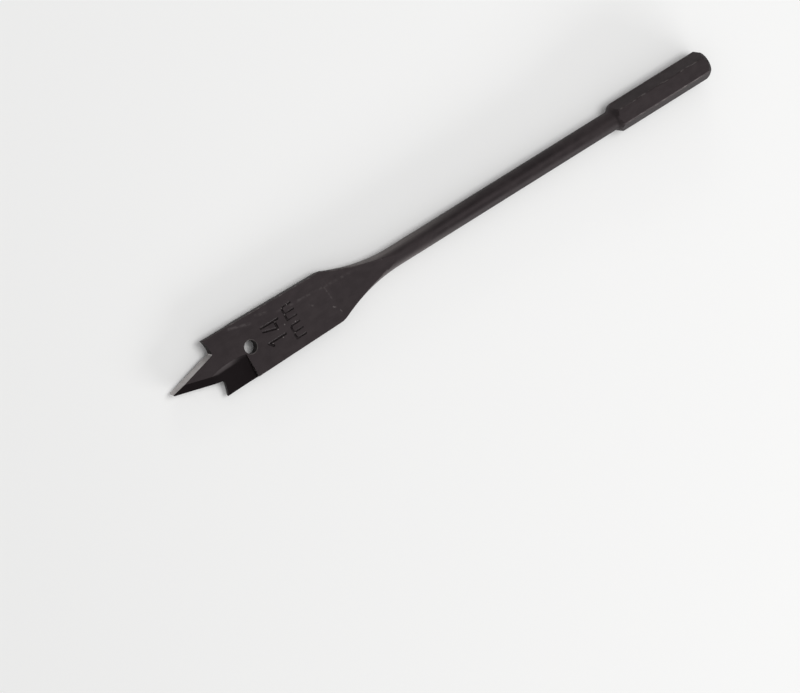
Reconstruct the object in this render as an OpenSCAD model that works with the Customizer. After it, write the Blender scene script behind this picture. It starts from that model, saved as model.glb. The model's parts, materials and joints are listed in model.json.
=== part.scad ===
// Spade drill bit for wood, forged and ground in one piece.
// Its axis is X, from the butt of the hexagonal shank to the tip of the point.
// The blade lies flat in the XY plane. Both sides of the cutting end are the
// same under a half turn about X, and the bit cuts when it turns clockwise as
// seen from the shank.

/* [Overall] */
// Length from the butt of the shank to the tip
overall_l = 152; // [120:1:220]

/* [Blade] */
// Cutting diameter, across the two spurs
cut_d = 14; // [12:0.5:24]
// Thickness of the flat blade
blade_t = 2.4; // [1.8:0.1:3]
// Distance from the tip back to the shoulders
blade_l = 43.8; // [38:0.1:60]
// Narrowing of each side behind its spur, in degrees
side_taper = 1.15; // [0.2:0.05:2]
// Rounding of the shoulders
shoulder_r = 5; // [1:0.5:10]
// Diameter of the hole through the blade
hole_d = 3.1; // [2:0.1:4]
// Bevel round the rims of the hole
hole_bevel = 0.15; // [0.05:0.05:0.3]
// Land between the ground hollow and the hole
hole_land = 0.25; // [0.2:0.05:3]

/* [Point and lips] */
// Distance from the tip back to the inner ends of the lips
point_l = 12.1; // [9:0.1:16]
// Included angle of the point, in degrees
point_angle = 29.5; // [24:0.5:34]
// Width of the blunt tip
tip_w = 0.3; // [0.1:0.05:0.6]
// Rounding of the corner between the point and a lip
root_r = 0.5; // [0.3:0.1:1.2]
// How far each spur stands ahead of its lip's inner end
spur_h = 0.65; // [0.3:0.05:1.2]
// Clearance ground behind the edges of the point, in degrees
relief = 16; // [8:0.5:18]
// Clearance ground behind the lips, in degrees
lip_relief = 9; // [6:0.5:16]

/* [Ground faces] */
// Length of the hollow behind a lip's inner end
hollow_l = 7.2; // [5:0.1:12]
// Distance from the axis to the nearest edge of the hollow
hollow_y = 0.4; // [0.2:0.05:0.9]
// Distance from the rear of the hollow to its deepest place
hollow_mid = 4.2; // [3:0.1:7]
// Turn of the hollow's rear wall away from square, in degrees
hollow_turn = 3; // [0:0.5:8]
// Slope of the hollow at its inner edge, in degrees
hollow_wall = 32; // [24:1:40]
// Depth of the hollow at the blade's side
hollow_depth = 1.45; // [0.9:0.05:1.6]
// Rounding between the inner edge and the floor
hollow_r = 4; // [2:0.5:5]
// Radius of the wheel that grinds the hollow
wheel_r = 40; // [25:1:80]
// Width of the rake face along each edge of the point
rake_w = 1.9; // [1:0.1:2.4]
// Slope of that rake face, in degrees
rake_angle = 12; // [8:0.5:20]

/* [Neck and shaft] */
// Diameter of the round shaft
shaft_d = 4.8; // [4:0.1:6]
// Radius of the sweep from the shoulders into the shaft
neck_r = 44; // [20:1:80]
// Slope of the forged flats on the neck, in degrees
flat_angle = 4; // [2.5:0.25:8]

/* [Shank] */
// Width across the flats of the hexagon
hex_w = 6.35; // [6:0.05:10]
// Length of the hexagon
hex_l = 26; // [18:0.5:40]
// Break of the hexagon's corners, measured inwards from them
hex_corner = 0.1; // [0.05:0.05:0.3]
// Bevel at the butt, measured inwards from the flats
butt_bevel = 0.45; // [0.2:0.05:1]
// Slope of the cones at both ends of the hexagon, in degrees from the axis
end_cone = 35; // [25:1:60]

/* [Hidden] */
steel_black = [0.21, 0.18, 0.19];
arc_steps = 12;
round_fn = 96;
hex_sides = 6;
// How far a cutting tool runs past the stock
clear = 2;

// Stations along the axis, from the butt
hollow_x = overall_l - point_l - hollow_l;
hole_x = hollow_x - hole_land - hole_d / 2;
shoulder_x = overall_l - blade_l;
spur_x = overall_l - point_l + spur_h;
// Where the shaft's core begins, inside the shank
core_x = hex_l / 2;

// Half widths of the blank
shaft_r = shaft_d / 2;
spur_y = cut_d / 2;
function side_y(x) = spur_y - (spur_x - x) * tan(side_taper);

// The neck is an arc that leaves the shaft in line with it and reaches the
// blade's side at the shoulder, where a small arc rounds the corner off.
neck_drop = side_y(shoulder_x) - shaft_r;
neck_l = sqrt(2 * neck_r * neck_drop - neck_drop * neck_drop);
neck_centre = [shoulder_x - neck_l, shaft_r + neck_r];
side_dir = [cos(side_taper), sin(side_taper)];
side_out = [-sin(side_taper), cos(side_taper)];
inner_start = [shoulder_x, side_y(shoulder_x)] - shoulder_r * side_out;
inner_gap = inner_start - neck_centre;
inner_run = -side_dir * inner_gap
  + sqrt(pow(side_dir * inner_gap, 2) - inner_gap * inner_gap + pow(neck_r + shoulder_r, 2));
shoulder_centre = inner_start + inner_run * side_dir;
neck_end_dir = shoulder_centre - neck_centre;
neck_end_a = atan2(neck_end_dir.y, neck_end_dir.x);

// Points along an arc; first = 1 leaves out its first point, where another arc ends
function arc(centre, r, a0, a1, first = 0) =
  [for (i = [first:arc_steps]) let (a = a0 + (a1 - a0) * i / arc_steps) centre + r * [cos(a), sin(a)]];

// Plan of one notch in front of a lip, seen from above with the tip at the
// origin: along the point's edge, round the root, along the lip and past the spur.
point_a = point_angle / 2;
root = [-point_l, tip_w / 2 + point_l * tan(point_a)];
root_run = root_r / tan((90 + point_a) / 2);
root_centre = root + [root_r, root_run];
lip_w = spur_y - root.y - root_run;
lip_r = (lip_w * lip_w + spur_h * spur_h) / (2 * spur_h);
lip_centre = root + [lip_r, root_run];
lip_a = asin(lip_w / lip_r);
notch = concat(
  [[clear, tip_w / 2 - clear * tan(point_a)]],
  arc(root_centre, root_r, 270 - point_a, 180),
  arc(lip_centre, lip_r, 180, 180 - lip_a, first = 1),
  [
    [-point_l, spur_y] + [spur_h, 0] + 2 * clear * [sin(lip_a), cos(lip_a)],
    [clear, spur_y + 2 * clear]
  ]
);

// The notch is cut along a line that leans forwards and outwards, so that the
// lip and the edge of the point get their clearance angles.
lean_y = (tan(relief) - tan(lip_relief) * sin(point_a)) / cos(point_a);
turn_y = lip_relief;
turn_x = -atan(lean_y * cos(turn_y));
function leaned(p) = [p.x * cos(turn_y), p.y * cos(turn_x) + p.x * sin(turn_y) * sin(turn_x)];
// Height of the cut, enough to pass through the blade where it leans furthest
notch_h = 2 * (blade_t + (point_l + cut_d) * tan(max(relief, lip_relief)));

// Slope of the hollow's floor, which runs straight from its depth at the blade's
// side into the rounding. The span reaches from the rounding's centre to that depth.
hollow_span = [spur_y - hollow_y - hollow_r * sin(hollow_wall), hollow_depth + hollow_r * cos(hollow_wall)];
hollow_floor = atan2(hollow_span.y, hollow_span.x) - asin(hollow_r / norm(hollow_span));

// Rim of the wheel that grinds a hollow, as radius and distance from the axis of
// the bit: rounded at the inner edge, then straight past the blade's side.
rim_centre = [wheel_r - hollow_r * cos(hollow_wall), hollow_y + hollow_r * sin(hollow_wall)];
rim = arc(rim_centre, hollow_r, -hollow_wall, -hollow_floor);
rim_out = [rim[arc_steps].x + (cut_d - rim[arc_steps].y) * tan(hollow_floor), cut_d];

// Turn that lays two flats of the hexagon level, and the radii to its sharp and
// to its broken corners
hex_turn = 180 / hex_sides;
hex_r = hex_w / 2 / cos(hex_turn);
corner_r = hex_r - hex_corner;

module about_x(profile) {
  rotate([0, 90, 0])
    rotate_extrude($fn = round_fn)
      polygon([for (p = profile) [p.y, p.x]]);
}

module both_sides() {
  children();
  rotate([180, 0, 0]) children();
}

// Round stock swept out to the full width of the blade, before it is flattened
module turned_blank() {
  about_x(concat(
    [[core_x, 0], [core_x, shaft_r]],
    arc(neck_centre, neck_r, -90, neck_end_a),
    arc(shoulder_centre, shoulder_r, neck_end_a + 180, 90 + side_taper, first = 1),
    [[overall_l, side_y(overall_l)], [overall_l, 0]]
  ));
}

// The two forged faces: level over the blade, then sloping up onto the shaft
module flattened() {
  half_t = blade_t / 2;
  start_x = core_x - clear;
  start_z = half_t + (shoulder_x - start_x) * tan(flat_angle);
  rotate([90, 0, 0])
    linear_extrude(height = cut_d + 2 * clear, center = true)
      polygon([
        [start_x, -start_z], [shoulder_x, -half_t], [overall_l + clear, -half_t],
        [overall_l + clear, half_t], [shoulder_x, half_t], [start_x, start_z]
      ]);
}

module hex_shank() {
  butt_r = hex_w / 2 - butt_bevel;
  inner_r = shaft_r - butt_bevel;
  butt_l = (corner_r - butt_r) / tan(end_cone);
  cone_l = (corner_r - inner_r) / tan(end_cone);
  intersection() {
    rotate([0, 90, 0])
      rotate([0, 0, hex_turn])
        cylinder(r = hex_r, h = hex_l + cone_l + clear, $fn = hex_sides);
    about_x([
      [0, 0], [0, butt_r], [butt_l, corner_r], [hex_l, corner_r], [hex_l + cone_l, inner_r],
      [hex_l + cone_l, 0]
    ]);
  }
}

module lip_notch() {
  translate([overall_l, 0, 0])
    rotate([turn_x, turn_y, 0])
      linear_extrude(height = notch_h, center = true)
        polygon([for (p = notch) leaned(p)]);
}

// Concave rake face behind a lip, ground by a wheel whose axle lies across the blade
module lip_hollow() {
  intersection() {
    translate([hollow_x + hollow_mid, 0, blade_t / 2 + wheel_r])
      rotate([-90, 0, 0])
        rotate_extrude($fn = round_fn)
          polygon(concat([[0, hollow_y]], rim, [rim_out, [0, cut_d]]));
    translate([hollow_x, 0, -blade_t / 2])
      rotate([0, 0, hollow_turn])
        translate([0, -cut_d / 2, 0])
          cube([hollow_l + point_l + clear, 2 * cut_d, 2 * blade_t]);
  }
}

// Flat rake face along one edge of the point, from the tip to the root of the lip
module point_rake() {
  edge_y = tip_w / 2 + blade_t / 2 * tan(relief) / cos(point_a);
  edge_l = point_l / cos(point_a);
  translate([overall_l, edge_y, blade_t / 2])
    rotate([0, 0, -point_a])
      translate([-edge_l, -rake_w, 0])
        rotate([-rake_angle, 0, 0])
          cube([edge_l + clear, rake_w / cos(rake_angle) + root_r, blade_t]);
}

module blade_hole() {
  hole_r = hole_d / 2;
  translate([hole_x, 0, 0]) {
    cylinder(r = hole_r, h = 2 * blade_t, center = true, $fn = round_fn);
    both_sides()
      translate([0, 0, blade_t / 2 - hole_bevel])
        cylinder(r1 = hole_r, r2 = hole_r + 2 * hole_bevel, h = 2 * hole_bevel, $fn = round_fn);
  }
}

module spade_bit() {
  color(steel_black)
    difference() {
      union() {
        hex_shank();
        intersection() {
          turned_blank();
          flattened();
        }
      }
      both_sides() {
        lip_notch();
        lip_hollow();
        point_rake();
      }
      blade_hole();
    }
}

spade_bit();
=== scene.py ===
"""Finishes a spade drill bit: rounded edges, a stamped size, steel finishes and a studio."""

import json
import math
from functools import reduce
from typing import NamedTuple

import bmesh
import bpy
from bpy.props import FloatProperty, FloatVectorProperty, PointerProperty
from mathutils import Matrix, Vector

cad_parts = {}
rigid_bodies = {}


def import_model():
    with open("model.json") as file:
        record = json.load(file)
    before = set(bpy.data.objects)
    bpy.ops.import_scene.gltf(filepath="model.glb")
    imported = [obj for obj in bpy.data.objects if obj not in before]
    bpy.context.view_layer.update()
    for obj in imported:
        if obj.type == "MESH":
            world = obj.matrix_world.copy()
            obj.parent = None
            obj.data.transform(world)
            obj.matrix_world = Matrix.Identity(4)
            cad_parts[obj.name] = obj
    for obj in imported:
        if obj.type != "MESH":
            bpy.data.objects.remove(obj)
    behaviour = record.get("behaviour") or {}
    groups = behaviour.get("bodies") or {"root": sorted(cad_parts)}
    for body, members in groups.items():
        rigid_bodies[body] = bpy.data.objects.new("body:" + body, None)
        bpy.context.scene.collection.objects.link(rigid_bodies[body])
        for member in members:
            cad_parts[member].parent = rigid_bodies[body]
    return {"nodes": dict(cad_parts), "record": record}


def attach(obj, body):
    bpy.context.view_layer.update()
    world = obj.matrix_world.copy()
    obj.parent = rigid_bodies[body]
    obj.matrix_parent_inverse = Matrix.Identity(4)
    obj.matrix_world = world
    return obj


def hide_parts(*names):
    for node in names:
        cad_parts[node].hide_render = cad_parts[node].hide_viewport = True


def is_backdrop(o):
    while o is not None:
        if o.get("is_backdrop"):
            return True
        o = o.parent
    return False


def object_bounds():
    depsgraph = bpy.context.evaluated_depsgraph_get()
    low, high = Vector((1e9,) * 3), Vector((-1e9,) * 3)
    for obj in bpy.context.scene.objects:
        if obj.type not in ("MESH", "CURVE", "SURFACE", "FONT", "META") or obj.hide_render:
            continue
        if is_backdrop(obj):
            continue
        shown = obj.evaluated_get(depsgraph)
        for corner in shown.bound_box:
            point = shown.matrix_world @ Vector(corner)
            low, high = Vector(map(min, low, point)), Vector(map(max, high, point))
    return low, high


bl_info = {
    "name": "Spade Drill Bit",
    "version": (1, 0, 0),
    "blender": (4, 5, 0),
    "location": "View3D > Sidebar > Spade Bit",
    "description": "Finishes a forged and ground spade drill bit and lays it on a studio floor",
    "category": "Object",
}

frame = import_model()

MM = 0.001
NODE = "spade_bit"
CAD_LOW, CAD_HIGH = (corner.copy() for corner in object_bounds())
TIP_X = CAD_HIGH.x
HOLE = next(mount for mount in frame["record"]["mounts"] if mount["name"] == "blade_hole")
UP = Vector((0, 0, 1))

# Finishes of the bit, in the order of its material slots
BLACKENED, GROUND, BARE, WORN, STAMPED = range(5)


def length(name, description, millimetres):
    """A size in millimetres, as a property in Blender's metres."""
    return FloatProperty(
        name=name, description=description, default=millimetres * MM, precision=6, unit="LENGTH"
    )


def angle(name, description, degrees):
    """An angle in degrees, as a property in radians."""
    return FloatProperty(
        name=name, description=description, default=math.radians(degrees), unit="ROTATION"
    )


def colour(name, description, red, green, blue):
    """A linear colour."""
    return FloatVectorProperty(
        name=name, description=description, default=(red, green, blue), min=0, max=1, subtype="COLOR"
    )


def power(name, description, watts):
    """The power of a light."""
    return FloatProperty(name=name, description=description, default=watts, unit="POWER")


class SpadeBitSizes(bpy.types.PropertyGroup):
    """Sizes of what is finished on the bit."""

    edge_round: length("Edge rounding", "Rounding along the forged edges", 0.13)
    shank_l: length("Shank length", "Length of the hexagonal shank with its end cone", 30)
    crisp_l: length("Crisp length", "How far behind the tip the crisp edges of the lips reach", 12.6)
    ground_l: length("Ground length", "How far behind the tip the ground faces reach", 19.9)
    digit_h: length("Digit height", "Height of the stamped size", 4.6)
    digit_gap: length("Digit gap", "Gap between the digits of the size", 1.93)
    digit_aside: length("Digits aside", "How far beside the axis the size is centred", 0.12)
    digit_foot: length("Digit foot", "Distance from the tip to the foot of the size", 29.8)
    unit_h: length("Unit height", "Height of the stamped unit", 2.45)
    unit_gap: length("Unit gap", "Gap between the letters of the unit", 1.55)
    unit_foot: length("Unit foot", "Distance from the tip to the foot of the unit", 34.1)
    stroke_w: length("Stroke width", "Width of a stamped stroke at the surface", 0.62)
    stroke_depth: length("Stroke depth", "Depth of a stamped stroke", 0.165)


class SpadeBitColours(bpy.types.PropertyGroup):
    """Colours of the bit's finishes."""

    oxide: colour("Black oxide", "Black oxide over the forged steel", 0.0055, 0.004, 0.0043)
    oxide_pale: colour("Pale oxide", "Where the black oxide is thin", 0.022, 0.0178, 0.0183)
    # Painted shade: the ground faces are darker than the forged oxide, as though turned away from the
    # light
    ground: colour("Ground faces", "Black oxide over the ground faces", 0.0033, 0.0021, 0.0024)
    # The sheen's warm tint is partly the oxide's own and partly a painted reddish reflection
    sheen: colour("Sheen", "Tint of the gloss on the black oxide", 1, 0.84, 0.88)
    # Painted highlight: the rim colour lightens the steep rim of a hollow where it would catch the light
    rim: colour("Rim", "The steep rim of a hollow, where the oxide is thin", 0.04, 0.034, 0.035)
    bare: colour("Bare steel", "Freshly ground steel", 0.46, 0.44, 0.435)
    # Also the colour of the painted highlight on the neck's flanks and of the painted glints
    rubbed: colour("Rubbed steel", "Steel that shows through rubbed oxide", 0.22, 0.2, 0.195)


class SpadeBitStage(bpy.types.PropertyGroup):
    """The floor, the light and the camera."""

    floor: colour("Floor", "Colour of the floor", 0.9, 0.9, 0.895)
    floor_w: FloatProperty(name="Floor width", description="Side of the floor", default=12, unit="LENGTH")
    sky: FloatProperty(name="Sky", description="Strength of the even light all round", default=0.47)
    key_power: power("Key light", "Power of the key light", 3.3)
    low_power: power("Low light", "Power of the low light", 3.6)
    side_power: power("Side light", "Power of the side light", 0.6)
    lens: FloatProperty(
        name="Lens", description="Focal length in millimetres", default=225, unit="CAMERA"
    )
    view_distance: length("Distance", "Distance from the camera to the tip along its view", 1103.75)
    view_tilt: angle("Tilt", "Tilt of the view away from the blade's face", 23.5)
    axis_turn: angle("Turn", "Turn of the bit's axis in the picture", 30.12)
    tip_right: length("Tip right", "How far right of the picture's centre the tip lies", -50.31)
    tip_down: length("Tip down", "How far below the picture's centre the tip lies", 10.67)


class Signal:
    """A shader value that Python's arithmetic works on."""

    def __init__(self, finish, socket):
        self.finish = finish
        self.socket = socket

    def math(self, operation, first, second=0.0):
        """The value of an operation on one or two values."""
        node = self.finish.node("ShaderNodeMath", {"operation": operation}, {0: first, 1: second})
        return Signal(self.finish, node.outputs[0])

    def __add__(self, other):
        return self.math("ADD", self, other)

    def __radd__(self, other):
        return self.math("ADD", other, self)

    def __sub__(self, other):
        return self.math("SUBTRACT", self, other)

    def __rsub__(self, other):
        return self.math("SUBTRACT", other, self)

    def __mul__(self, other):
        return self.math("MULTIPLY", self, other)

    def __abs__(self):
        return self.math("ABSOLUTE", self)

    def most(self, other):
        """The larger of two values."""
        return self.math("MAXIMUM", self, other)

    def rise(self, low, high):
        """A smooth step from 0 at low to 1 at high."""
        node = self.finish.node(
            "ShaderNodeMapRange",
            {"interpolation_type": "SMOOTHSTEP"},
            {"Value": self, "From Min": low, "From Max": high},
        )
        return Signal(self.finish, node.outputs[0])

    def fall(self, low, high):
        """A smooth step from 1 at low to 0 at high."""
        return 1 - self.rise(low, high)


class Finish:
    """A material built from one Principled shader and patterns in millimetres of a piece's own frame.

    On the bit, back is the distance behind the tip, and level is 1 where the surface faces up or down.
    """

    def __init__(self, name, **constants):
        self.material = bpy.data.materials.new(name)
        self.material.use_nodes = True
        self.tree = self.material.node_tree
        self.tree.nodes.clear()
        sockets = {key.replace("_", " "): value for key, value in constants.items()}
        self.shader = self.node("ShaderNodeBsdfPrincipled", sockets=sockets)
        self.node("ShaderNodeOutputMaterial", sockets={"Surface": self.shader.outputs[0]})
        coordinates = self.node("ShaderNodeTexCoord")
        self.place = self.vector("SCALE", coordinates.outputs["Object"], scale=1 / MM)
        apart = self.node("ShaderNodeSeparateXYZ", sockets={0: self.place})
        x, self.y, self.z = (Signal(self, socket) for socket in apart.outputs)
        self.back = TIP_X / MM - x
        facing = self.node("ShaderNodeSeparateXYZ", sockets={0: coordinates.outputs["Normal"]})
        self.level = abs(Signal(self, facing.outputs["Z"]))

    def node(self, kind, settings=None, sockets=None):
        """A node of this kind, with its settings made first and then its sockets fed."""
        made = self.tree.nodes.new(kind)
        for name, value in (settings or {}).items():
            setattr(made, name, value)
        for key, value in (sockets or {}).items():
            self.feed(self.find(made, key), value)
        return made

    def find(self, node, key):
        """An input by its number, its identifier or its name."""
        if isinstance(key, int):
            return node.inputs[key]
        named = [socket for socket in node.inputs if socket.identifier == key]
        return named[0] if named else node.inputs[key]

    def feed(self, socket, value):
        """Links a value into a socket, or sets the socket to a number or a colour."""
        if isinstance(value, Signal):
            value = value.socket
        if isinstance(value, bpy.types.NodeSocket):
            self.tree.links.new(value, socket)
        elif socket.type == "RGBA":
            socket.default_value = (*value, 1)
        else:
            socket.default_value = value

    def vector(self, operation, first, second=(0, 0, 0), scale=1.0):
        """The vector of an operation on one or two vectors."""
        sockets = {0: first, 1: second, "Scale": scale}
        return self.node("ShaderNodeVectorMath", {"operation": operation}, sockets).outputs[0]

    def mix(self, amount, first, second):
        """A colour between two colours."""
        sockets = {"Factor_Float": amount, "A_Color": first, "B_Color": second}
        node = self.node("ShaderNodeMix", {"data_type": "RGBA"}, sockets)
        return next(socket for socket in node.outputs if socket.identifier == "Result_Color")

    def noise(self, per_mm, detail=2.0, roughness=0.5):
        """Noise with so many features to a millimetre along each axis."""
        place = self.vector("MULTIPLY", self.place, per_mm)
        sockets = {"Vector": place, "Scale": 1.0, "Detail": detail, "Roughness": roughness}
        return Signal(self, self.node("ShaderNodeTexNoise", sockets=sockets).outputs[0])

    def surface(self, **values):
        """Feeds the shader with what changes over the surface."""
        for name, value in values.items():
            self.feed(self.shader.inputs[name.replace("_", " ")], value)

    def bump(self, height, depth):
        """Relief from a height of 0 to 1, so many millimetres deep."""
        sockets = {"Height": height, "Distance": depth * MM}
        self.surface(Normal=self.node("ShaderNodeBump", sockets=sockets).outputs[0])


# Heights in millimetres between which the marks of the stamped face come in
STAMPED_FACE_IN = (0.2, 0.6)
# Distances in millimetres behind the tip between which a look comes in or fades out
# NECK_IN and NECK_OUT bound the painted highlight on the neck's flanks
NECK_IN = (45, 53)
NECK_OUT = (56, 90)
# Where the painted light, paler towards the rear of the blade, comes in
REAR_LIGHT_IN = (20, 42)
# Where the painted highlight on the hollow's steep rim fades out
RIM_OUT = (14, 18)
HOLE_OUT = (23, 25)
# Distances in millimetres beside the axis between which the wear round the hole fades out
HOLE_ASIDE_OUT = (2.0, 3.5)
# Shares of a rubbed streak's run, from its middle, between which it fades out
RUN_OUT = (0.35, 0.5)


class Rub(NamedTuple):
    """A rubbed streak on the stamped face of the blade, in millimetres and degrees."""

    behind_tip: float
    aside: float
    run: float
    turn: float
    width: float
    strength: float


# Streaks where the oxide is rubbed thin: one long line beside the axis, and short scuffs
RUBS = (
    Rub(behind_tip=41, aside=-3.0, run=24, turn=3.3, width=0.5, strength=0.11),
    Rub(behind_tip=20.8, aside=-5.35, run=6.8, turn=16, width=0.5, strength=0.15),
    Rub(behind_tip=26.8, aside=-5.1, run=3.8, turn=16, width=0.5, strength=0.18),
    Rub(behind_tip=43.1, aside=-1.7, run=5.0, turn=82, width=0.28, strength=0.12),
    Rub(behind_tip=38.3, aside=-0.8, run=1.4, turn=45, width=0.4, strength=0.15),
    Rub(behind_tip=43, aside=2.4, run=1.0, turn=45, width=0.3, strength=0.6),
    Rub(behind_tip=44, aside=3.9, run=0.8, turn=70, width=0.22, strength=0.25),
)


def rub_mask(finish, rub):
    """How far the oxide is rubbed off along one streak."""
    turn = math.radians(rub.turn)
    back = finish.back - rub.behind_tip
    side = finish.y - rub.aside
    along = back * math.cos(turn) + side * math.sin(turn)
    across = side * math.cos(turn) - back * math.sin(turn)
    in_line = abs(across).fall(0.0, rub.width)
    in_run = abs(along).fall(*(share * rub.run for share in RUN_OUT))
    return in_line * in_run * rub.strength


# Painted glints at corners of the stamped strokes, as millimetres behind the tip and beside the axis
GLINT_SPOTS = (
    (28.9, -1.9), (28.7, -0.1), (26.1, 2.0), (28.9, 2.05), (31.75, -3.75), (33.2, -3.85), (31.75, -2.1),
    (31.9, 2.6), (30.6, -0.25), (33.2, 0.45),
)
GLINT_R = 0.2
# A darker spot inside the second digit
DARK_PLACE = (28.0, -1.7)
DARK_R = 1.3


def spot(finish, behind_tip, aside, radius):
    """A soft round spot on the stamped face of the blade."""
    back = finish.back - behind_tip
    side = finish.y - aside
    return (back * back + side * side).fall(0.0, radius * radius)


def glint_mask(finish):
    """Painted glints at the corners of the stamped strokes."""
    bright = reduce(Signal.most, (spot(finish, *place, GLINT_R) for place in GLINT_SPOTS))
    return bright * finish.z.rise(*STAMPED_FACE_IN)


def blackened_finish(colours):
    """Black oxide over forged steel, satin, mottled and lightly scratched, with painted light paler
    towards the rear, a painted highlight on the neck's flanks and painted glints.
    """
    finish = Finish("blackened_forged_steel", Specular_IOR_Level=0.27, Specular_Tint=colours.sheen)
    mottle = finish.noise((0.1, 0.16, 0.16), detail=2.0).rise(0.3, 0.7)
    cloud = finish.noise((0.45, 0.6, 0.6), detail=2.0).rise(0.3, 0.7)
    grain = finish.noise((5.5, 6.5, 6.5), detail=3.0, roughness=0.65)
    rolled = finish.noise((0.12, 3.2, 3.2), detail=2.0)
    pits = finish.noise((2.4, 2.4, 2.4), detail=1.0).rise(0.66, 0.74)
    scratches = finish.noise((0.22, 9.0, 9.0), detail=1.0).rise(0.7, 0.78)
    scuffed = finish.noise((0.9, 1.1, 1.1), detail=2.0).rise(0.42, 0.62)
    stamped_face = finish.z.rise(*STAMPED_FACE_IN)
    streaks = reduce(Signal.most, (rub_mask(finish, rub) for rub in RUBS))
    rubbed = streaks * (0.15 + scuffed * 0.85) * stamped_face
    at_neck = finish.back.rise(*NECK_IN) * finish.back.fall(*NECK_OUT)
    # Painted highlight on the neck's rounded flanks, mixed in as pale rubbed-steel colour
    flank_highlight = finish.level.fall(0.5, 0.95) * at_neck * (0.2 + rolled * 0.4)
    # Painted glints at the corners of the stamped strokes
    bright = glint_mask(finish)
    dark = spot(finish, *DARK_PLACE, DARK_R) * stamped_face
    texture = mottle * 0.8 + cloud * 0.35 + grain * 0.6 + rolled * 0.3
    # Painted light: the tone grows paler towards the rear
    tone = texture + finish.back.rise(*REAR_LIGHT_IN) * 0.25 - 0.85 - dark
    body = finish.mix(tone, colours.oxide, colours.oxide_pale)
    # Real rubs and scratches, with the painted flank highlight and painted glints mixed in as pale steel
    # colour
    worn = rubbed.most(flank_highlight).most(scratches * 0.04).most(bright * 0.5)
    finish.surface(
        Base_Color=finish.mix(worn, body, colours.rubbed),
        Roughness=0.4 + grain * 0.2 + mottle * 0.12 - worn * 0.1,
    )
    finish.bump(grain * 0.55 + rolled * 0.25 - pits * 0.5 - scratches * 0.25, depth=0.012)
    return finish.material


def ground_finish(colours):
    """Black oxide over a hollow ground face, painted darker as shade, with the wheel's lines across it
    and a paler rim that is a painted highlight.
    """
    finish = Finish("blackened_ground_steel", Specular_IOR_Level=0.1, Specular_Tint=colours.sheen)
    lines = finish.noise((7.0, 0.25, 0.25), detail=3.0, roughness=0.6)
    cloud = finish.noise((0.3, 0.3, 0.3), detail=2.0)
    # Painted shade: the hollow's floor takes the darker ground colour
    floor = finish.mix(lines * 0.3 + cloud * 0.25 - 0.15, colours.ground, colours.oxide)
    # Painted highlight: paler where the hollow's face leans steeply, near its inner end
    rim = finish.level.fall(0.94, 0.98) * finish.back.fall(*RIM_OUT) * (0.6 + lines * 0.8)
    finish.surface(
        Base_Color=finish.mix(rim, floor, colours.rim),
        Roughness=0.3 + lines * 0.14 + cloud * 0.06,
    )
    finish.bump(lines, depth=0.01)
    return finish.material


def bare_finish(colours):
    """Freshly ground steel on the clearance faces, with fine lines across the edge."""
    finish = Finish("bare_ground_steel", Metallic=1.0)
    lines = finish.noise((5.0, 5.0, 0.4), detail=3.0, roughness=0.6)
    stain = finish.noise((0.5, 0.5, 0.5), detail=2.0).rise(0.45, 0.75)
    steel = finish.mix(lines * 0.5 + stain * 0.3, colours.bare, colours.rubbed)
    finish.surface(Base_Color=steel, Roughness=0.26 + lines * 0.16)
    finish.bump(lines, depth=0.008)
    return finish.material


def worn_finish(colours):
    """Edges where the oxide is rubbed through to the steel in places."""
    finish = Finish("worn_edge_steel", Specular_IOR_Level=0.22, Specular_Tint=colours.sheen)
    patches = finish.noise((0.35, 0.35, 0.35), detail=3.0).rise(0.45, 0.7)
    specks = finish.noise((0.5, 1.6, 1.6), detail=3.0).rise(0.48, 0.68)
    at_hole = abs(finish.y).fall(*HOLE_ASIDE_OUT) * finish.back.fall(*HOLE_OUT)
    worn = patches * 0.12 + specks * 0.3 + at_hole * 0.3
    finish.surface(
        Base_Color=finish.mix(worn, colours.oxide_pale, colours.rubbed),
        Metallic=worn,
        Roughness=0.44 - worn * 0.12,
    )
    return finish.material


def stamped_finish(colours):
    """The walls of the stamped size, smooth and painted dark as shade, with painted glints at the
    corners.
    """
    finish = Finish("stamped_steel", Specular_IOR_Level=0.15, Specular_Tint=colours.sheen)
    # Painted glints at the corners of the stamped strokes
    bright = glint_mask(finish)
    grain = finish.noise((4.0, 4.0, 4.0), detail=2.0)
    faded = finish.noise((0.8, 0.8, 0.8), detail=1.0).rise(0.45, 0.65)
    # Painted shade: the walls take the dark ground colour, paler where faded
    wall = finish.mix(faded * 0.7, colours.ground, colours.oxide_pale)
    finish.surface(
        Base_Color=finish.mix(bright * 0.5, wall, colours.rubbed),
        Roughness=0.2 + grain * 0.14 + faded * 0.2,
    )
    return finish.material


# Strokes of each stamped character in heights of the character: right and up from its lower left corner
STROKES = {
    "1": ([(0, 0.82), (0.2, 1), (0.2, 0)],),
    "4": ([(0.23, 0.98), (0.02, 0.23), (0.435, 0.23)], [(0.435, 1), (0.435, 0.02)]),
    "m": (
        [(0, 0), (0, 1)],
        [(0, 0.85), (0.15, 1), (0.5, 1), (0.65, 0.85), (0.65, 0)],
        [(0.65, 0.85), (0.8, 1), (1.15, 1), (1.3, 0.85), (1.3, 0)],
    ),
}
# Sides of a punch's round ends
PUNCH_SIDES = 10
# Shares of a stroke's width at its foot, and in the lean of its foot to one side
PUNCH_FOOT = 0.12
PUNCH_LEAN = 0.04
# Share of the size's stroke width and depth that the unit's strokes have
UNIT_SHARE = 0.8


class StampRow(NamedTuple):
    """A row of stamped characters: their size, where the row stands, and its strokes."""

    text: str
    height: float
    gap: float
    foot_x: float
    aside: float
    stroke_w: float
    stroke_depth: float


def stroke_ring(centre, radius, height):
    """A ring of points round a place on the blade."""
    turns = [2 * math.pi * i / PUNCH_SIDES for i in range(PUNCH_SIDES)]
    return [
        Vector((centre.x + radius * math.cos(turn), centre.y + radius * math.sin(turn), height))
        for turn in turns
    ]


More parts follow.
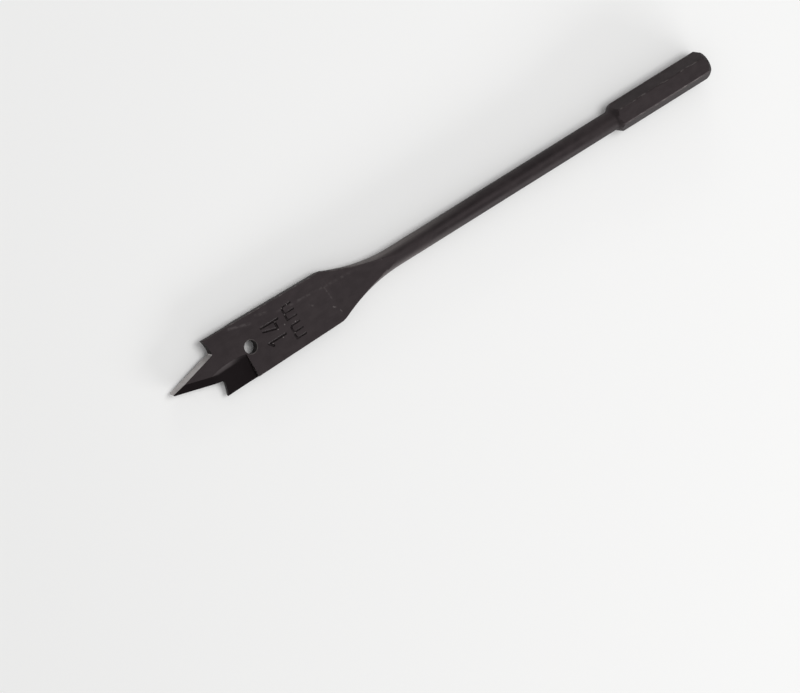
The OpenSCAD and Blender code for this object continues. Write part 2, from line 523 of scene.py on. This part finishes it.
def add_punch(punches, start, end, face_z, width, depth):
    """Adds the solid that a blunt V-shaped punch fills between two places on the blade."""
    foot = width / 2 * PUNCH_FOOT
    head = width - foot
    solid = bmesh.new()
    lean = Vector((0, width * PUNCH_LEAN))
    for centre in (start, end):
        upper = stroke_ring(centre + lean, head, face_z + depth)
        lower = stroke_ring(centre - lean, foot, face_z - depth)
        for point in upper + lower:
            solid.verts.new(point)
    made = bmesh.ops.convex_hull(solid, input=solid.verts)
    inside = [item for item in made["geom_interior"] if isinstance(item, bmesh.types.BMVert)]
    bmesh.ops.delete(solid, geom=inside, context="VERTS")
    for face in solid.faces:
        face.material_index = STAMPED
    mesh = bpy.data.meshes.new("punch")
    solid.to_mesh(mesh)
    solid.free()
    punches.objects.link(bpy.data.objects.new("punch", mesh))


def add_row(punches, row, face_z):
    """Adds a row of characters that reads across the blade, with its tops towards the tip."""
    widths = [max(x for line in STROKES[sign] for x, _ in line) * row.height for sign in row.text]
    right = -(sum(widths) + row.gap * (len(row.text) - 1)) / 2
    for sign, sign_w in zip(row.text, widths):
        for line in STROKES[sign]:
            places = [
                Vector((row.foot_x + up * row.height, row.aside - right - x * row.height))
                for x, up in line
            ]
            for start, end in zip(places, places[1:]):
                add_punch(punches, start, end, face_z, row.stroke_w, row.stroke_depth)
        right += sign_w + row.gap


def size_punches(sizes, face_z):
    """The punches that stamp the size and its unit into the upper face of the blade."""
    digits = StampRow(
        text="14",
        height=sizes.digit_h,
        gap=sizes.digit_gap,
        foot_x=TIP_X - sizes.digit_foot,
        aside=sizes.digit_aside,
        stroke_w=sizes.stroke_w,
        stroke_depth=sizes.stroke_depth,
    )
    unit = StampRow(
        text="mm",
        height=sizes.unit_h,
        gap=sizes.unit_gap,
        foot_x=TIP_X - sizes.unit_foot,
        aside=0,
        stroke_w=sizes.stroke_w * UNIT_SHARE,
        stroke_depth=sizes.stroke_depth * UNIT_SHARE,
    )
    punches = bpy.data.collections.new("punches")
    for row in (digits, unit):
        add_row(punches, row, face_z)
    return punches


# Lifts that tell a face's finish: 1 faces straight up or down, and 0 faces aside or along the axis
LEVEL_LIFT = 0.9995
BEVEL_LIFT = 0.3
STEEP_LIFT = 0.4
FLANK_LIFT = 0.2
# How far a clearance flank of the point faces aside, and how far its root and the flat tip face ahead
FLANK_ASIDE = 0.92
ROOT_ASIDE = 0.5
ROOT_AHEAD = 0.2
TIP_AHEAD = 0.99
# Reach of the hole's bevels in its radii, and where the hexagon's corners start in its half widths
HOLE_REACH = 1.2
CORNER_REACH = 1.08
# Bends of forged edges, of corners that stay crisp, between wide faces, and within one flat face
FORGED_BEND = math.radians(40)
CRISP_BEND = math.radians(36)
WIDE_BEND = math.radians(2)
FLAT_BEND = math.radians(0.3)
WIDE_AREA = 2 * MM * MM
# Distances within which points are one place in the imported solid, and in the stamped mesh
SAME_PLACE = 0.0001 * MM
SLIVER = 0.004 * MM


def finish_of(face, sizes):
    """Which finish a face of the solid has, from where it lies and how it faces."""
    middle = face.calc_center_median()
    ahead, aside, lift = face.normal.x, abs(face.normal.y), abs(face.normal.z)
    level = lift > LEVEL_LIFT
    from_hole = (middle - Vector(HOLE["pos_m"])).xy.length
    if from_hole < HOLE["dims"]["r_mm"] * HOLE_REACH * MM and not level:
        return WORN if lift > BEVEL_LIFT else BLACKENED
    if middle.x < sizes.shank_l and math.hypot(middle.y, middle.z) > CORNER_REACH * CAD_HIGH.z:
        return WORN
    if level or middle.x < TIP_X - sizes.ground_l:
        return BLACKENED
    faces_aside = aside > FLANK_ASIDE or (ahead > ROOT_AHEAD and aside > ROOT_ASIDE)
    flank = FLANK_LIFT < lift < STEEP_LIFT and faces_aside
    if flank or ahead > TIP_AHEAD:
        return BARE
    return BLACKENED if lift < STEEP_LIFT else GROUND


def edge_weight(edge, sizes):
    """Share of the edge rounding that an edge gets."""
    first, second = edge.link_faces
    finishes = {first.material_index, second.material_index}
    forged = sizes.shank_l < min(vertex.co.x for vertex in edge.verts) < TIP_X - sizes.crisp_l
    corner = edge.is_convex and edge.calc_face_angle() > FORGED_BEND
    return 1.0 if forged and corner and finishes == {BLACKENED} else 0.0


def solid_mesh(sizes):
    """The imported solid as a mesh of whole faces, with its finishes and edge weights set."""
    solid = bmesh.new()
    solid.from_mesh(frame["nodes"][NODE].data)
    bmesh.ops.remove_doubles(solid, verts=solid.verts, dist=SAME_PLACE)
    bmesh.ops.dissolve_limit(solid, angle_limit=FLAT_BEND, verts=solid.verts, edges=solid.edges)
    for face in solid.faces:
        face.material_index = finish_of(face, sizes)
        face.smooth = True
    weights = solid.edges.layers.float.new("bevel_weight_edge")
    for edge in solid.edges:
        edge[weights] = edge_weight(edge, sizes)
    mesh = bpy.data.meshes.new("spade_bit_steel")
    solid.to_mesh(mesh)
    solid.free()
    return mesh


def mark_sharp(mesh):
    """Merges slivers, and keeps corners, the ends of finishes and bends between wide faces crisp."""
    solid = bmesh.new()
    solid.from_mesh(mesh)
    bmesh.ops.remove_doubles(solid, verts=solid.verts, dist=SLIVER)
    for edge in solid.edges:
        first, second = edge.link_faces
        bend = edge.calc_face_angle()
        wide = min(first.calc_area(), second.calc_area()) > WIDE_AREA
        finishes = {first.material_index, second.material_index}
        crisp = bend > CRISP_BEND or (len(finishes) == 2 and WORN not in finishes)
        edge.smooth = not (crisp or (wide and bend > WIDE_BEND))
    solid.to_mesh(mesh)
    solid.free()


def apply_modifiers(context, thing):
    """Applies a thing's modifiers to its mesh."""
    context.view_layer.update()
    mesh = bpy.data.meshes.new_from_object(thing.evaluated_get(context.evaluated_depsgraph_get()))
    thing.modifiers.clear()
    old, thing.data = thing.data, mesh
    bpy.data.meshes.remove(old)


class SPADEBIT_OT_finish_bit(bpy.types.Operator):
    """Round the bit's edges, stamp its size and give it its steel finishes"""

    bl_idname = "spade_bit.finish_bit"
    bl_label = "Finish Bit"

    def execute(self, context):
        sizes = context.scene.spade_bit_sizes
        colours = context.scene.spade_bit_colours
        mesh = solid_mesh(sizes)
        bit = bpy.data.objects.new("spade_bit_finished", mesh)
        context.scene.collection.objects.link(bit)
        for make in (blackened_finish, ground_finish, bare_finish, worn_finish, stamped_finish):
            mesh.materials.append(make(colours))

        rounding = bit.modifiers.new("edge_rounding", "BEVEL")
        rounding.limit_method = "WEIGHT"
        rounding.width = sizes.edge_round
        rounding.segments = 2
        rounding.material = WORN
        rounding.use_clamp_overlap = False

        face_z = max(point.co.z for point in mesh.vertices if point.co.x > TIP_X - sizes.ground_l)
        punches = size_punches(sizes, face_z)
        context.scene.collection.children.link(punches)
        stamping = bit.modifiers.new("stamped_size", "BOOLEAN")
        stamping.operation = "DIFFERENCE"
        stamping.solver = "EXACT"
        stamping.operand_type = "COLLECTION"
        stamping.collection = punches
        apply_modifiers(context, bit)
        for punch in punches.objects[:]:
            bpy.data.objects.remove(punch)
        bpy.data.collections.remove(punches)

        mark_sharp(bit.data)
        shading = bit.modifiers.new("even_shading", "WEIGHTED_NORMAL")
        shading.keep_sharp = True
        apply_modifiers(context, bit)
        if not any(face.material_index == STAMPED for face in bit.data.polygons):
            raise RuntimeError("the size was not stamped")

        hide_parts(NODE)
        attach(bit, "root")
        return {"FINISHED"}


# The heel is the front of the shank's lowest edge, level to this slack, and the blade lies ahead of it
HEEL_SLACK = 0.01 * MM
BLADE_AHEAD = 50 * MM


class LightPanel(NamedTuple):
    """A soft light: its place from the bit's centre and its size in metres, and the name of its power."""

    name: str
    offset: tuple
    width: float
    height: float
    power: str


PANELS = (
    LightPanel(name="key_panel", offset=(-0.26, 0.0, 0.81), width=0.52, height=0.52, power="key_power"),
    LightPanel(name="low_panel", offset=(-0.25, 0.75, 0.18), width=0.8, height=0.14, power="low_power"),
    LightPanel(name="side_panel", offset=(-0.3, -0.8, 0.2), width=0.5, height=0.1, power="side_power"),
)


def rest_slope():
    """Where the bit's heel lies, and how steeply the floor rises from it to touch the blade."""
    points = [vertex.co for vertex in frame["nodes"][NODE].data.vertices]
    low_z = min(point.z for point in points)
    heel_x = max(point.x for point in points if point.z < low_z + HEEL_SLACK)
    blade = [point for point in points if point.x > heel_x + BLADE_AHEAD]
    rise = min((point.z - low_z) / (point.x - heel_x) for point in blade)
    return Vector((heel_x, 0, low_z)), math.atan(rise)


def add_floor(context, stage):
    """A wide pale floor that touches the bit where it would come to rest."""
    heel, slope = rest_slope()
    floor_mesh = bmesh.new()
    bmesh.ops.create_grid(floor_mesh, x_segments=1, y_segments=1, size=stage.floor_w / 2)
    mesh = bpy.data.meshes.new("studio_floor")
    floor_mesh.to_mesh(mesh)
    floor_mesh.free()
    floor = bpy.data.objects.new("studio_floor", mesh)
    floor.matrix_world = Matrix.Translation(heel) @ Matrix.Rotation(-slope, 4, "Y")
    finish = Finish("pale_floor", Base_Color=stage.floor, Specular_IOR_Level=0.2)
    finish.surface(Roughness=0.7 + finish.noise((0.02, 0.02, 0.02)) * 0.1)
    mesh.materials.append(finish.material)
    context.scene.collection.objects.link(floor)
    floor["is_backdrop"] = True


def add_panel(context, panel, aim, watts):
    """Adds a soft light panel that faces its aim."""
    lamp = bpy.data.lights.new(panel.name, "AREA")
    lamp.shape = "RECTANGLE"
    lamp.size, lamp.size_y = panel.width, panel.height
    lamp.energy = watts
    middle = aim + Vector(panel.offset)
    turn = (aim - middle).to_track_quat("-Z", "Y")
    light = bpy.data.objects.new(panel.name, lamp)
    light.matrix_world = Matrix.Translation(middle) @ turn.to_matrix().to_4x4()
    context.scene.collection.objects.link(light)


def add_camera(context, stage):
    """A long lens that looks down on the blade, with the bit slanting across the picture."""
    turn, tilt = stage.axis_turn, stage.view_tilt
    flat_right = Vector((-math.cos(turn), math.sin(turn), 0))
    down = Vector((math.sin(turn), math.cos(turn), 0))
    right = flat_right * math.cos(tilt) + UP * math.sin(tilt)
    ahead = flat_right * math.sin(tilt) - UP * math.cos(tilt)
    tip = Vector((TIP_X, 0, 0))
    place = tip - ahead * stage.view_distance - right * stage.tip_right - down * stage.tip_down
    lens = bpy.data.cameras.new("camera")
    lens.lens = stage.lens
    camera = bpy.data.objects.new("camera", lens)
    camera.matrix_world = Matrix.Translation(place) @ Matrix((right, -down, -ahead)).transposed().to_4x4()
    context.scene.collection.objects.link(camera)
    context.scene.camera = camera


class SPADEBIT_OT_set_stage(bpy.types.Operator):
    """Lay a pale floor under the bit, light it softly and aim the camera"""

    bl_idname = "spade_bit.set_stage"
    bl_label = "Set Stage"

    def execute(self, context):
        stage = context.scene.spade_bit_stage
        centre = (CAD_LOW + CAD_HIGH) / 2
        add_floor(context, stage)
        for panel in PANELS:
            add_panel(context, panel, centre, getattr(stage, panel.power))
        world = bpy.data.worlds.new("studio")
        world.use_nodes = True
        sky = world.node_tree.nodes["Background"]
        sky.inputs["Color"].default_value = (1, 1, 1, 1)
        sky.inputs["Strength"].default_value = stage.sky
        context.scene.world = world
        context.scene.view_settings.view_transform = "Standard"
        add_camera(context, stage)
        return {"FINISHED"}


class SPADEBIT_PT_sidebar(bpy.types.Panel):
    """Sizes, colours and steps of the spade bit"""

    bl_idname = "SPADEBIT_PT_sidebar"
    bl_label = "Spade Bit"
    bl_space_type = "VIEW_3D"
    bl_region_type = "UI"
    bl_category = "Spade Bit"

    def draw(self, context):
        for step in STEPS:
            self.layout.operator(step.bl_idname)
        for group in GROUPS:
            values = getattr(context.scene, group)
            for name in values.bl_rna.properties.keys():
                if name not in ("rna_type", "name"):
                    self.layout.prop(values, name)


GROUPS = {
    "spade_bit_sizes": SpadeBitSizes,
    "spade_bit_colours": SpadeBitColours,
    "spade_bit_stage": SpadeBitStage,
}
STEPS = (SPADEBIT_OT_finish_bit, SPADEBIT_OT_set_stage)
CLASSES = (*GROUPS.values(), *STEPS, SPADEBIT_PT_sidebar)


def register():
    for item in CLASSES:
        bpy.utils.register_class(item)
    for name, group in GROUPS.items():
        setattr(bpy.types.Scene, name, PointerProperty(type=group))


def unregister():
    for name in GROUPS:
        delattr(bpy.types.Scene, name)
    for item in reversed(CLASSES):
        bpy.utils.unregister_class(item)


def main():
    """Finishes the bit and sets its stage."""
    register()
    bpy.ops.spade_bit.finish_bit()
    bpy.ops.spade_bit.set_stage()


if __name__ == "__main__":
    main()
